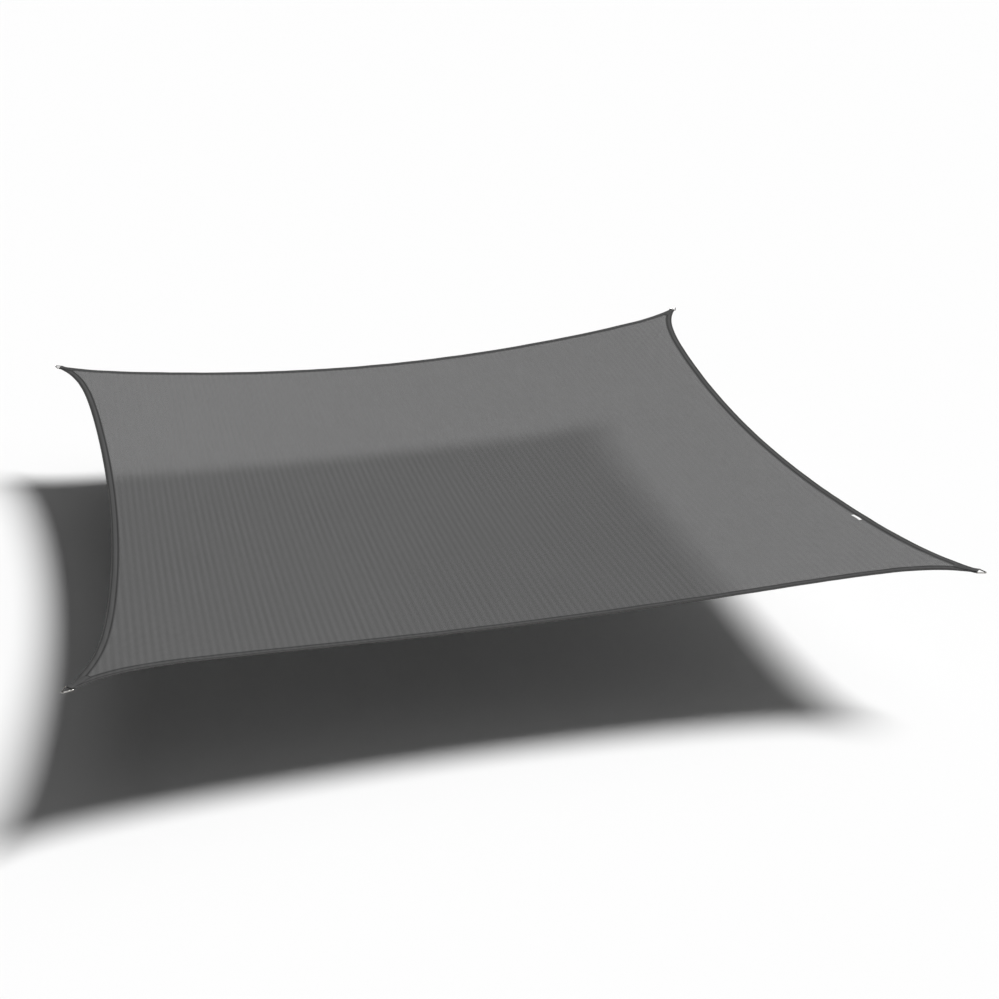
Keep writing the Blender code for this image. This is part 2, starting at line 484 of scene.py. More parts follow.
# The settings of a wave texture in straight, soft bands.
BANDS = {"wave_type": "BANDS", "wave_profile": "SIN"}


def wave_scale(pitch: float) -> float:
    """Return the scale at which Blender's wave bands stand a pitch apart, in metres."""
    return math.pi / (10 * pitch)


def set_inputs(
    tree: bpy.types.NodeTree, node: bpy.types.Node, inputs: dict[str | int, object]
) -> None:
    """Set a node's inputs, or link them.

    Args:
        tree: The material's node tree.
        node: The node.
        inputs: A value, or another node's output, for each input's name or number.
    """
    for name, value in inputs.items():
        if isinstance(value, bpy.types.NodeSocket):
            tree.links.new(value, node.inputs[name])
        else:
            node.inputs[name].default_value = value


def add_node(
    tree: bpy.types.NodeTree,
    kind: str,
    settings: dict[str, object] | None = None,
    inputs: dict[str | int, object] | None = None,
) -> bpy.types.Node:
    """Add a shader node with its settings, its values and its links.

    Args:
        tree: The material's node tree.
        kind: The node's type, without the words ShaderNode.
        settings: The node's properties by name.
        inputs: A value, or another node's output, for each input's name or number.

    Returns:
        The node.
    """
    node = tree.nodes.new(f"ShaderNode{kind}")
    for name, value in (settings or {}).items():
        setattr(node, name, value)
    set_inputs(tree, node, inputs or {})
    return node


def new_finish(name: str) -> tuple[bpy.types.Material, bpy.types.NodeTree, bpy.types.Node]:
    """Make a material.

    Args:
        name: The material's name.

    Returns:
        The material, its node tree and its Principled shader.
    """
    material = bpy.data.materials.new(name)
    material.use_nodes = True
    tree = material.node_tree
    return material, tree, tree.nodes["Principled BSDF"]


@dataclass(frozen=True)
class KnittedPolyethylene:
    """Knitted high-density polyethylene, the usual cloth of a shade sail.

    Chains of round yarn run along the cloth, and flat tape is laid to and fro between them. The eye
    sees a matt dark grey with fine ridges along Y, tiny holes between the yarns that let a little of
    what lies behind show through, and a faint broader band where every eighth chain is heavier.

    Attributes:
        name: The material's name.
        colour: The top of the yarns.
        between_colour: The shaded places between them.
        roughness: How matt the yarn is, as drawn polyethylene is after some weather.
        ior: The refractive index, about that of polyethylene.
        specular_level: How much of its shine is left, which the knit breaks up.
        chain_pitch: How far apart the chains stand, as on the real cloth.
        loop_pitch: How long a chain's loops are, as on the real cloth.
        loop_share: How much of the knit's height the loops make; the chains make the rest.
        relief: How high the yarns stand.
        relief_strength: How much of that height the light shows.
        chains_per_band: How many chains there are from one heavier chain to the next. The heavier
            ones are the only lines of the knit that show from a few steps away.
        band_tone: How much paler their yarn is than what lies halfway between them.
        band_cover: How much more they cover.
        uneven_length: The length over which the yarn of a heavier chain is drawn in unevenly.
        patchiness: The noise's values at which such a chain is faintest and strongest.
        least_band: How strong it is where it is faintest.
        clouds_per_metre: How often the weathering of the cloth changes.
        cloudiness: The noise's values at which the cloth is darkest and palest.
        weathering: How much darker or paler it is there.
        yarn_cover: How much of what lies behind each face's yarns hide.
        gap_cover: How much of it the places between them hide.
        gap_edges: The knit's heights at which those places end and the yarns begin.
        shade_cover: How much more of the lamps' light each face stops: the photograph's shadow is
            deeper than what the eye sees through the cloth.
    """

    name: str = "knitted_polyethylene"
    colour: str = "#6b6b6b"
    between_colour: str = "#5b5b5b"
    roughness: float = 0.72
    ior: float = 1.5
    specular_level: float = 0.12
    chain_pitch: float = 0.00415
    loop_pitch: float = 0.0030
    loop_share: float = 0.38
    relief: float = 0.0004
    relief_strength: float = 0.7
    chains_per_band: int = 8
    band_tone: float = 0.15
    band_cover: float = 0.034
    uneven_length: float = 0.6
    patchiness: tuple[float, float] = (0.35, 0.65)
    least_band: float = 0.45
    clouds_per_metre: float = 1.7
    cloudiness: tuple[float, float] = (0.3, 0.7)
    weathering: float = 0.015
    yarn_cover: float = 0.78
    gap_cover: float = 0.65
    gap_edges: tuple[float, float] = (0.2, 0.7)
    shade_cover: float = 0.120

    def knit(self, tree: bpy.types.NodeTree) -> bpy.types.NodeSocket:
        """Draw the chains and their loops.

        Args:
            tree: The material's node tree.

        Returns:
            The height of the yarns, from 0 to 1.
        """
        place = add_node(tree, "TexCoord").outputs["Object"]
        chain = add_node(
            tree, "TexWave", {**BANDS, "bands_direction": "X"},
            {"Vector": place, "Scale": wave_scale(self.chain_pitch)},
        ).outputs["Fac"]
        # The loops of a chain are pointed, so their rows are drawn out along it.
        pointed = add_node(
            tree, "VectorMath", {"operation": "MULTIPLY_ADD"},
            {0: chain, 1: (0.0, self.loop_pitch / 2, 0.0), 2: place},
        ).outputs[0]
        loop = add_node(
            tree, "TexWave", {**BANDS, "bands_direction": "Y"},
            {"Vector": pointed, "Scale": wave_scale(self.loop_pitch)},
        ).outputs["Fac"]
        return add_node(
            tree, "Mix", {"data_type": "FLOAT"}, {0: self.loop_share, 2: chain, 3: loop}
        ).outputs[0]

    def heavy_chains(self, tree: bpy.types.NodeTree) -> bpy.types.NodeSocket:
        """Draw the broader bands of the heavier chains, stronger in some places than in others.

        Args:
            tree: The material's node tree.

        Returns:
            The bands, from 0 halfway between them to 1 on them.
        """
        place = add_node(tree, "TexCoord").outputs["Object"]
        pitch = self.chains_per_band * self.chain_pitch
        heavy = add_node(
            tree, "TexWave", {**BANDS, "bands_direction": "X"},
            {"Vector": place, "Scale": wave_scale(pitch)},
        ).outputs["Fac"]
        # A patch is two bands wide, and as long as the yarn of a chain is drawn in alike.
        drawn_out = add_node(
            tree, "VectorMath", {"operation": "MULTIPLY"},
            {0: place, 1: (0.5 / pitch, 1 / self.uneven_length, 1.0)},
        ).outputs[0]
        patch = add_node(
            tree, "TexNoise", {"noise_dimensions": "3D"},
            {"Vector": drawn_out, "Scale": 1.0, "Detail": 2.0},
        ).outputs["Fac"]
        faintest, strongest = self.patchiness
        strength = add_node(
            tree, "MapRange", {},
            {"Value": patch, "From Min": faintest, "From Max": strongest,
             "To Min": self.least_band, "To Max": 1.0},
        ).outputs[0]
        return add_node(
            tree, "Mix", {"data_type": "FLOAT"}, {0: strength, 2: 0.5, 3: heavy}
        ).outputs[0]

    def tone(self, tree: bpy.types.NodeTree, band: bpy.types.NodeSocket) -> bpy.types.NodeSocket:
        """Draw how bright the yarn is from place to place.

        Args:
            tree: The material's node tree.
            band: The heavier chains' bands, from 0 to 1.

        Returns:
            The brightness, around 1.
        """
        place = add_node(tree, "TexCoord").outputs["Object"]
        cloud = add_node(
            tree, "TexNoise", {"noise_dimensions": "3D"},
            {"Vector": place, "Scale": self.clouds_per_metre, "Detail": 3.0},
        ).outputs["Fac"]
        darkest, palest = self.cloudiness
        weathered = add_node(
            tree, "MapRange", {},
            {"Value": cloud, "From Min": darkest, "From Max": palest,
             "To Min": 1 - self.weathering, "To Max": 1 + self.weathering},
        ).outputs[0]
        banded = add_node(
            tree, "MapRange", {},
            {"Value": band, "To Min": 1 - self.band_tone / 2, "To Max": 1 + self.band_tone / 2},
        ).outputs[0]
        return add_node(tree, "Math", {"operation": "MULTIPLY"}, {0: weathered, 1: banded}).outputs[0]

    def cover(
        self, tree: bpy.types.NodeTree, height: bpy.types.NodeSocket, band: bpy.types.NodeSocket
    ) -> bpy.types.NodeSocket:
        """Draw how much of what lies behind a face hides, and how much of the lamps' light it stops.

        Args:
            tree: The material's node tree.
            height: The height of the yarns, from 0 to 1.
            band: The heavier chains' bands, from 0 to 1.

        Returns:
            The cover, from 0 to 1.
        """
        gap_end, yarn_start = self.gap_edges
        plain = add_node(
            tree, "MapRange", {"interpolation_type": "SMOOTHSTEP"},
            {"Value": height, "From Min": gap_end, "From Max": yarn_start,
             "To Min": self.gap_cover, "To Max": self.yarn_cover},
        ).outputs[0]
        add = {"operation": "MULTIPLY_ADD"}
        banded = add_node(tree, "Math", add, {0: band, 1: self.band_cover, 2: plain}).outputs[0]
        from_lamp = add_node(tree, "LightPath").outputs["Is Shadow Ray"]
        return add_node(
            tree, "Math", add, {0: from_lamp, 1: self.shade_cover, 2: banded}
        ).outputs[0]

    def material(self) -> bpy.types.Material:
        """Make the finish's material; only a cloth with gaps between its yarns is sheer.

        Returns:
            The material.
        """
        material, tree, shader = new_finish(self.name)
        height, band = self.knit(tree), self.heavy_chains(tree)
        yarn = add_node(
            tree, "Mix", {"data_type": "RGBA"},
            {0: height, 6: linear(self.between_colour), 7: linear(self.colour)},
        ).outputs[2]
        toned = add_node(
            tree, "VectorMath", {"operation": "SCALE"}, {0: yarn, "Scale": self.tone(tree, band)}
        ).outputs[0]
        bump = add_node(
            tree, "Bump", {},
            {"Strength": self.relief_strength, "Distance": self.relief, "Height": height},
        ).outputs[0]
        set_inputs(tree, shader, {
            "Base Color": toned,
            "Normal": bump,
            "Roughness": self.roughness,
            "IOR": self.ior,
            "Specular IOR Level": self.specular_level,
        })
        if self.gap_cover < 1.0:
            set_inputs(tree, shader, {"Alpha": self.cover(tree, height, band)})
        return material


@dataclass(frozen=True)
class SewnHem(KnittedPolyethylene):
    """The same cloth turned under twice and sewn down: three layers, with no light through them.

    The eye sees a darker band than the single cloth. Along its two rows of thread, where the layers
    are pulled together into grooves, painted shade makes it darker still.

    Attributes:
        middle: How far the hem's middle line is from the edge.
        row_from_middle: How far each row of thread is from that line.
        row_shade_width: How far to each side of a row the painted shade of its groove reaches.
        row_shade_tone: How bright the cloth is painted on the row itself, where that shade is deepest.
    """

    name: str = "sewn_hem"
    colour: str = "#505050"
    between_colour: str = "#464646"
    yarn_cover: float = 1.0
    gap_cover: float = 1.0
    middle: float = 0.020
    row_from_middle: float = 0.012
    row_shade_width: float = 0.0060
    row_shade_tone: float = 0.47

    def tone(self, tree: bpy.types.NodeTree, band: bpy.types.NodeSocket) -> bpy.types.NodeSocket:
        """Draw the cloth's brightness, with painted shade darkening it along the two rows of thread.

        Args:
            tree: The material's node tree.
            band: The heavier chains' bands, from 0 to 1.

        Returns:
            The brightness, around 1 between the rows.
        """
        plain = super().tone(tree, band)
        lay = add_node(tree, "Attribute", {"attribute_name": LAY}).outputs["Vector"]
        away = add_node(tree, "SeparateXYZ", {}, {0: lay}).outputs["Y"]
        # First the way from the hem's middle, and then from that the way from the nearer row.
        for line in (self.middle, self.row_from_middle):
            past = add_node(tree, "Math", {"operation": "SUBTRACT"}, {0: away, 1: line}).outputs[0]
            away = add_node(tree, "Math", {"operation": "ABSOLUTE"}, {0: past}).outputs[0]
        # Painted shade of the thread's grooves: darkest on each row, fading out over the row's width to
        # each side.
        pulled = add_node(
            tree, "MapRange", {"interpolation_type": "SMOOTHSTEP"},
            {"Value": away, "From Min": 0.0, "From Max": self.row_shade_width,
             "To Min": self.row_shade_tone, "To Max": 1.0},
        ).outputs[0]
        return add_node(tree, "Math", {"operation": "MULTIPLY"}, {0: plain, 1: pulled}).outputs[0]


@dataclass(frozen=True)
class WovenPolyester:
    """Woven polyester in narrow goods: fine ribs along it, crossed by the picks of the weave.

    Attributes:
        name: The material's name.
        colour: The top of the yarns.
        between_colour: The shaded places between them.
        rib_pitch: How far apart the ribs stand.
        pick_pitch: How far apart the picks stand.
        relief: How high the yarns stand.
        roughness: How matt they are.
        specular_level: How much they shine.
        relief_strength: How much of their height the light shows.
    """

    name: str
    colour: str
    between_colour: str
    rib_pitch: float
    pick_pitch: float
    relief: float
    roughness: float
    specular_level: float
    relief_strength: float = 0.8

    def material(self) -> bpy.types.Material:
        """Make the finish's material.

        Returns:
            The material.
        """
        material, tree, shader = new_finish(self.name)
        lay = add_node(tree, "Attribute", {"attribute_name": LAY}).outputs["Vector"]
        rib = add_node(
            tree, "TexWave", {**BANDS, "bands_direction": "Y"},
            {"Vector": lay, "Scale": wave_scale(self.rib_pitch)},
        ).outputs["Fac"]
        # Each rib's picks stand half a pick ahead of its neighbour's, as a weave's do.
        shifted = add_node(
            tree, "VectorMath", {"operation": "MULTIPLY_ADD"},
            {0: rib, 1: (self.pick_pitch / 2, 0.0, 0.0), 2: lay},
        ).outputs[0]
        pick = add_node(
            tree, "TexWave", {**BANDS, "bands_direction": "X"},
            {"Vector": shifted, "Scale": wave_scale(self.pick_pitch)},
        ).outputs["Fac"]
        weave = add_node(tree, "Mix", {"data_type": "FLOAT"}, {0: 0.5, 2: rib, 3: pick}).outputs[0]
        yarn = add_node(
            tree, "Mix", {"data_type": "RGBA"},
            {0: weave, 6: linear(self.between_colour), 7: linear(self.colour)},
        ).outputs[2]
        bump = add_node(
            tree, "Bump", {},
            {"Strength": self.relief_strength, "Distance": self.relief, "Height": weave},
        ).outputs[0]
        set_inputs(tree, shader, {
            "Base Color": yarn,
            "Normal": bump,
            "Roughness": self.roughness,
            "Specular IOR Level": self.specular_level,
        })
        return material


@dataclass(frozen=True)
class PolyesterWebbing(WovenPolyester):
    """Dyed polyester webbing of thick yarn: the eye sees a dark, matt band with ribs along it."""

    name: str = "polyester_webbing"
    colour: str = "#525252"
    between_colour: str = "#404040"
    rib_pitch: float = 0.0020
    pick_pitch: float = 0.0016
    relief: float = 0.0003
    roughness: float = 0.7
    specular_level: float = 0.15


@dataclass(frozen=True)
class SatinTape(WovenPolyester):
    """White satin label tape of fine yarn: the eye sees a smooth white with a slight sheen."""

    name: str = "satin_tape"
    colour: str = "#fbfbfa"
    between_colour: str = "#efefee"
    rib_pitch: float = 0.0006
    pick_pitch: float = 0.0005
    relief: float = 0.00005
    roughness: float = 0.45
    specular_level: float = 0.5


@dataclass(frozen=True)
class BondedThread:
    """Bonded polyester sewing thread, three plies twisted and waxed.

    The eye sees dark, short grains of it with a dull shine.

    Attributes:
        name: The material's name.
        colour: The thread between its plies, darkened there as painted shade.
        ply_top_colour: The top of the plies, paler than the painted shade between them.
        roughness: How dull the wax is.
        ply_pitch: How far apart the plies stand along the thread.
        relief: How high they stand.
        relief_strength: How much of that height the light shows.
    """

    name: str = "bonded_thread"
    colour: str = "#262627"
    ply_top_colour: str = "#39393a"
    roughness: float = 0.5
    ply_pitch: float = 0.0012
    relief: float = 0.0001
    relief_strength: float = 0.5

    def material(self) -> bpy.types.Material:
        """Make the finish's material.

        Returns:
            The material.
        """
        material, tree, shader = new_finish(self.name)
        place = add_node(tree, "TexCoord").outputs["Object"]
        ply = add_node(
            tree, "TexWave", {**BANDS, "bands_direction": "DIAGONAL"},
            {"Vector": place, "Scale": wave_scale(self.ply_pitch)},
        ).outputs["Fac"]
        # The plies' tops in their own colour, with painted shade in the hollows between them.
        colour = add_node(
            tree, "Mix", {"data_type": "RGBA"},
            {0: ply, 6: linear(self.colour), 7: linear(self.ply_top_colour)},
        ).outputs[2]
        bump = add_node(
            tree, "Bump", {},
            {"Strength": self.relief_strength, "Distance": self.relief, "Height": ply},
        ).outputs[0]
        set_inputs(
            tree, shader, {"Base Color": colour, "Normal": bump, "Roughness": self.roughness}
        )
        return material


@dataclass(frozen=True)
class PolishedStainless:
    """Electropolished stainless steel wire.

    The eye sees a bright metal that draws the room in greys, a little duller where it is rubbed.

    Attributes:
        name: The material's name.
        colour: The steel's own colour in what it mirrors.
        roughness: How rough the bright steel is.
        rubbed_roughness: How rough it is where it is rubbed.
        rub_size: How large the rubs are.
        rubbing: The noise's values at which the steel is brightest and most rubbed.
        relief: How deep the rubs are.
        relief_strength: How much of that depth the light shows.
    """

    name: str = "polished_stainless"
    colour: str = "#c3c1bd"
    roughness: float = 0.12
    rubbed_roughness: float = 0.34
    rub_size: float = 0.006
    rubbing: tuple[float, float] = (0.35, 0.75)
    relief: float = 0.0001
    relief_strength: float = 0.15

    def material(self) -> bpy.types.Material:
        """Make the finish's material.

        Returns:
            The material.
        """
        material, tree, shader = new_finish(self.name)
        place = add_node(tree, "TexCoord").outputs["Object"]
        rub = add_node(
            tree, "TexNoise", {"noise_dimensions": "3D"},
            {"Vector": place, "Scale": 1 / self.rub_size, "Detail": 4.0},
        ).outputs["Fac"]
        bright, rubbed = self.rubbing
        rough = add_node(
            tree, "MapRange", {},
            {"Value": rub, "From Min": bright, "From Max": rubbed,
             "To Min": self.roughness, "To Max": self.rubbed_roughness},
        ).outputs[0]
        bump = add_node(
            tree, "Bump", {},
            {"Strength": self.relief_strength, "Distance": self.relief, "Height": rub},
        ).outputs[0]
        set_inputs(tree, shader, {
            "Base Color": linear(self.colour), "Normal": bump, "Roughness": rough, "Metallic": 1.0,
        })
        return material


@dataclass(frozen=True)
class MattPaint:
    """Matt white studio paint, rolled on a smooth floor: the eye sees an even white with no shine.

    Attributes:
        name: The material's name.
        colour: The paint.
        roughness: How matt it is.
        specular_level: How much it shines.
    """

    name: str = "matt_white_paint"
    colour: str = "#eaeaea"
    roughness: float = 0.9
    specular_level: float = 0.0

    def material(self) -> bpy.types.Material:
        """Make the finish's material.

        Returns:
            The material.
        """
        material, tree, shader = new_finish(self.name)
        set_inputs(tree, shader, {
            "Base Color": linear(self.colour),
            "Roughness": self.roughness,
            "Specular IOR Level": self.specular_level,
        })
        return material


# ---------------------------------------------------------------------------------------------
# The cloth and its hem
# ---------------------------------------------------------------------------------------------


@dataclass(frozen=True)
class SectionRow:
    """A line along the hem: how far in it lies, and how far both faces lie below the smooth top."""

    inset: float
    top: float
    underside: float


@dataclass
class SailCloth:
    """The sail's one panel of cloth, with its edge turned under twice and sewn.

    Attributes:
        shape: The cut and the hang.
        cells: How many faces there are along an edge, and across the panel each way.
        crowding: How far the faces are drawn together towards the corners.
        rows: The insets of the two rows of thread.
        row_half: Half the width of the groove that a row of thread pulls.
        groove: How deep the thread presses its rows into each face of the hem.
        swell: How far the hem swells between its rows.
        nose: The rounding of the fold: insets, and how far each face lies inside the hem's there.
        hem_end: Places from the inner end of the hem, and how far its last layer falls there.
        hem_foot: Places from that end, and how far the underside lies below the single cloth's.
        pucker: How far the sewn hem rises and falls between its stitches.
        pucker_length: How long such a rise is.
        pucker_reach: How far into the panel it fades.
        pucker_rows: How far apart the four edges read the noise of their puckers.
        pucker_level: The noise's level at which they read it.
        ripple: How high the soft ridges at the corners are.
        ripple_width: How far apart they stand, halfway along.
        ripple_from: How far from a ring they begin.
        ripple_to: How far from a ring they end.
        ripple_rise: The length over which they rise.
        ripple_fall: The length over which they fall.
        ripple_fan: How wide they fan out, in radians.
        ripple_turn: How far out of step with the last corner's each one's ridges are, in radians.
        held: How far from a ring's bar the strap holds the cloth flat.
        freeing: The length over which it then comes to move freely.
    """

    shape: HungShape
    cells: int = 150
    crowding: float = 0.5
    rows: tuple[float, float] = (0.008, 0.032)
    row_half: float = 0.0012
    groove: float = 0.0006
    swell: float = 0.0002
    nose: tuple[tuple[float, float], ...] = ((0.0005, 0.0010), (0.0018, 0.0002))
    hem_end: tuple[tuple[float, float], ...] = ((-0.0010, 0.0002), (-0.0002, 0.0010))
    hem_foot: tuple[tuple[float, float], ...] = ((0.0, 0.0008), (0.0010, 0.0001), (0.0030, 0.0))
    pucker: float = 0.0011
    pucker_length: float = 0.085
    pucker_reach: float = 0.055
    pucker_rows: float = 7.3
    pucker_level: float = 0.5
    ripple: float = 0.0010
    ripple_width: float = 0.065
    ripple_from: float = 0.14
    ripple_to: float = 1.1
    ripple_rise: float = 0.25
    ripple_fall: float = 0.7
    ripple_fan: float = 0.5
    ripple_turn: float = 1.9
    held: float = 0.12
    freeing: float = 0.12

    def section(self) -> list[SectionRow]:
        """Lay out the hem's section.

        Returns:
            Its rows, from the nose of its fold to the single cloth beside it.
        """
        hem, cloth = self.shape.hem_thickness, self.shape.cloth_thickness
        width, swell = self.shape.hem_width, self.swell
        grooves = [
            [
                SectionRow(row - self.row_half, 0.0, hem),
                SectionRow(row, self.groove, hem - self.groove),
                SectionRow(row + self.row_half, 0.0, hem),
            ]
            for row in self.rows
        ]
        return [
            SectionRow(0.0, hem / 2, hem / 2),
            *(SectionRow(inset, inside, hem - inside) for inset, inside in self.nose),
            *grooves[0],
            SectionRow(width / 2, -swell, hem + swell),
            *grooves[1],
            *(SectionRow(width + past, 0.0, hem - fall) for past, fall in self.hem_end),
            *(SectionRow(width + past, 0.0, cloth + below) for past, below in self.hem_foot),
        ]

    def spread(self) -> np.ndarray:
        """Space out the points of a line between its corners.

        Returns:
            Their places on it, from 0 to 1 and closer together towards both.
        """
        even = np.linspace(0.0, 1.0, self.cells + 1)
        crowded = (1 - np.cos(np.pi * even)) / 2
        return even + self.crowding * (crowded - even)

    def puckers(self, side: Side, share: np.ndarray) -> np.ndarray:
        """Find the rise of the sewn hem, as uneven as a seam in stretchy cloth.

        Args:
            side: The edge.
            share: How far along it the places are.

        Returns:
            The rises there.
        """
        steps = share * self.shape.side / self.pucker_length
        row, level = self.pucker_rows * side.value, self.pucker_level
        rises = [noise.noise(Vector((step, row, level))) for step in np.ravel(steps)]
        return self.pucker * np.reshape(rises, np.shape(share))

    def fade(self, away: np.ndarray) -> np.ndarray:
        """Return how much of an edge's puckers is left at a distance from it."""
        return np.exp(-((away / self.pucker_reach) ** 2))

    def ripples(self, plan: np.ndarray) -> np.ndarray:
        """Find the soft ridges that fan out from the pulled corners into the panel.

        Args:
            plan: The places' X and Y.

        Returns:
            The rises there.
        """
        out = self.shape.side / 2 - np.abs(plan)
        reach = np.linalg.norm(out, axis=-1)
        bearing = np.arctan2(out[..., 1], out[..., 0]) - math.pi / 4
        quadrant = 2 * (plan[..., 0] > 0) + (plan[..., 1] > 0)
        halfway = (self.ripple_from + self.ripple_to) / 2
        turned = self.ripple_turn * quadrant
        ridges = np.sin(2 * np.pi * bearing * halfway / self.ripple_width + turned)
        rise = eased((reach - self.ripple_from) / self.ripple_rise)
        fall = eased((self.ripple_to - reach) / self.ripple_fall)
        return self.ripple * ridges * rise * fall * np.exp(-((bearing / self.ripple_fan) ** 2))

    def freedom(self, plan: np.ndarray) -> np.ndarray:
        """Return how freely the cloth moves: not at all in the tails, which the straps hold flat."""
        from_ring = np.linalg.norm(self.shape.side / 2 - np.abs(plan), axis=-1)
        return eased((from_ring - self.held) / self.freeing)

    def edge_lift(
        self, side: Side, share: np.ndarray, plan: np.ndarray, past_hem: np.ndarray | float = 0.0
    ) -> np.ndarray:
        """Return how far the cloth stands off its smooth hang beside an edge, in its hem or past it."""
        lift = self.puckers(side, share) * self.fade(past_hem) + self.ripples(plan)
        return self.freedom(plan) * lift

    def hem_loop(
        self, row: SectionRow, spread: np.ndarray
    ) -> tuple[np.ndarray, np.ndarray, np.ndarray]:
        """Lay one closed line round the sail, inside its edge.

        Args:
            row: The section's row that the line follows.
            spread: Where the points stand on each side, from 0 to 1.

        Returns:
            The places in the plan, the lift there, and the lay.
        """
        share = self.shape.line_shares(row.inset, spread)
        plans = [self.shape.edge(side, share, np.full_like(share, row.inset)) for side in Side]
        lifts = [self.edge_lift(side, share, plan) for side, plan in zip(Side, plans)]
        along = np.concatenate([(side.value + share) * self.shape.side for side in Side])
        lay = np.column_stack([along, np.full_like(along, row.inset)])
        return np.concatenate(plans), np.concatenate(lifts), lay

    def panel(self, ring: np.ndarray, spread: np.ndarray) -> tuple[np.ndarray, np.ndarray]:
        """Lay the panel's grid inside its ring of hem.

        Args:
            ring: The places in the plan of the ring, side by side.
            spread: Where the points stand on each side, from 0 to 1.

        Returns:
            The places in the plan, and the lift there.
        """
        near, right, far, left = ring.reshape(4, self.cells + 1, 2)
        far, left = far[::-1], left[::-1]
        a, b = spread[:, None, None], spread[None, :, None]
        plan = near[:, None] * (1 - b) + far[:, None] * b + left[None] * (1 - a) + right[None] * a
        plan = plan - near[0] * (1 - a) * (1 - b) - near[-1] * a * (1 - b) - far[0] * (1 - a) * b
        plan = plan - far[-1] * a * b
        share = self.shape.line_shares(self.section()[-1].inset, spread)
        lift = self.ripples(plan)
        starts = {
            Side.NEAR: (near[:, None], share[:, None]),
            Side.RIGHT: (right[None], share[None]),
            Side.FAR: (far[:, None], 1 - share[:, None]),
            Side.LEFT: (left[None], 1 - share[None]),
        }
        for side, (start, shares) in starts.items():
            away = np.linalg.norm(plan - start, axis=-1)
            lift = lift + self.puckers(side, shares) * self.fade(away)
        return plan, lift * self.freedom(plan)

    def face(self, face: Face) -> list[Shell]:
        """Lay one face of the cloth.

        Args:
            face: Which face it is.

        Returns:
            The face of the hem, and that of the panel inside it.
        """
        section, spread = self.section(), self.spread()
        drops = [row.top if face is Face.TOP else row.underside for row in section]
        loops = [self.hem_loop(row, spread) for row in section]
        lines, lays = [], []
        for drop, (plan, lift, lay) in zip(drops, loops):
            line = np.column_stack([plan, self.shape.height(*plan.T) + lift - drop])
            lines.append(np.concatenate([line, line[:1]]))
            lays.append(np.concatenate([lay, lay[:1]]))
        hem = Shell.grid(np.stack(lines, 1), np.stack(lays, 1))
        hem_rows = sum(row.inset < self.shape.hem_width for row in section)
        in_hem = [n % (len(section) - 1) < hem_rows for n in range(len(hem.faces))]
        hem = replace(hem, finish=[int(inside) for inside in in_hem])
        plan, lift = self.panel(loops[-1][0], spread)
        level = self.shape.height(plan[..., 0], plan[..., 1]) + lift - drops[-1]
        panel = Shell.grid(np.dstack([plan, level]), np.full_like(plan, self.shape.hem_width))
        return [half if face is Face.TOP else half.turned_over() for half in (hem, panel)]

    def build(self, finishes: list[bpy.types.Material]) -> bpy.types.Object:
        """Add the cloth to the scene in place of its solid.

        Args:
            finishes: The materials of the single cloth and of the hem.

        Returns:
            The piece.
        """
        shell = Shell.joined([half for face in Face for half in self.face(face)])
        cloth = add_piece(shell, "sail_cloth_knit", finishes)
        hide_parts("sail_cloth")
        return cloth


@dataclass
class Seam:
    """Rows of lockstitch: a short arched grain of thread for every stitch that shows.

    Attributes:
        stitch: The length of a stitch with its gap.
        thread: The thread's radius.
        sides: How many sides a stitch has round it.
        grain_half: Half the length of a stitch's grain, as a share of the stitch.
        shoulder: How far out the grain is still full, as a share of half its length.
        flattening: How high the grain is for its width, pressed as it is into the cloth.
    """

    stitch: float = 0.0050
    thread: float = 0.00045
    sides: int = 5
    grain_half: float = 0.46
    shoulder: float = 0.55
    flattening: float = 0.9

    def shell(self, middles: np.ndarray, runs: np.ndarray, ups: np.ndarray) -> Shell:
        """Lay the stitches at given places.

        Args:
            middles: The middle of each stitch on the cloth's face.
            runs: The direction in which each stitch is sewn.
            ups: The direction away from the cloth at each stitch.

        Returns:
            The stitches as closed grains, whose ends dip into the cloth.
        """
        half = self.stitch * self.grain_half
        angles = np.arange(self.sides) * 2 * np.pi / self.sides
        rim = [
            (self.thread * math.cos(a), self.thread * (1 + math.sin(a)) * self.flattening)
            for a in angles
        ]
        grain = [(-half, 0.0, -self.thread)]
        for place in (-self.shoulder, self.shoulder):
            grain += [(half * place, across, above) for across, above in rim]
        grain.append((half, 0.0, -self.thread))
        last = 2 * self.sides + 1
        faces = []
        for n in range(self.sides):
            a, b = 1 + n, 1 + (n + 1) % self.sides
            far_a, far_b = a + self.sides, b + self.sides
            faces += [[0, b, a], [a, b, far_b, far_a], [far_a, far_b, last]]
        sideways = np.cross(ups, runs)
        shape = np.array(grain)
        points = middles[:, None] + shape[None, :, :1] * runs[:, None]
        points = points + shape[None, :, 1:2] * sideways[:, None] + shape[None, :, 2:] * ups[:, None]
        starts = range(0, (last + 1) * len(middles), last + 1)
        every = [[n + start for n in face] for start in starts for face in faces]
        lay = np.tile(shape[:, :2], (len(middles), 1))
        return Shell(points.reshape(-1, 3), lay, every, [0] * len(every))


